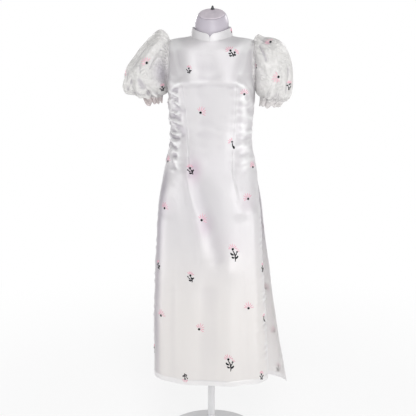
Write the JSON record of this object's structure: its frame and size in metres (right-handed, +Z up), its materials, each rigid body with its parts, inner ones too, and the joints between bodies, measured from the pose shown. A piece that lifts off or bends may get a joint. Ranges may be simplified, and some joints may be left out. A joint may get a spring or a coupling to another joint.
{
  "type": "ao dai tunic on limbless dress form",
  "caption": "Long fitted tunic with a notched stand collar, puff sleeves with frilled cuffs and side slits, worn by a limbless dress form on a pole and round base.",
  "frame": {"origin": "on the floor, at the centre of the base's underside, under the pole", "axes": "+Z up, the garment's front faces -Y, the wearer's left is +X"},
  "size_m": [0.574, 0.32, 1.5163],
  "materials": {
    "satin": "white satin with a soft sheen and small flower motifs",
    "organza": "sheer white organza, gathered",
    "form_shell": "smooth lilac-grey shell, semi-gloss",
    "form_cap": "smooth grey cap, semi-gloss",
    "knob": "dark, matte",
    "stand": "pale grey enamel, semi-gloss"
  },
  "bodies": {
    "root": {"front": "satin", "back_left": "satin", "back_right": "satin", "collar_left": "satin", "collar_right": "satin", "sleeve_left": "organza", "sleeve_right": "organza", "form_body": "form_shell", "neck_cap": "form_cap", "cap_knob": "knob", "pole": "stand", "base": "stand"}
  },
  "joints": []
}
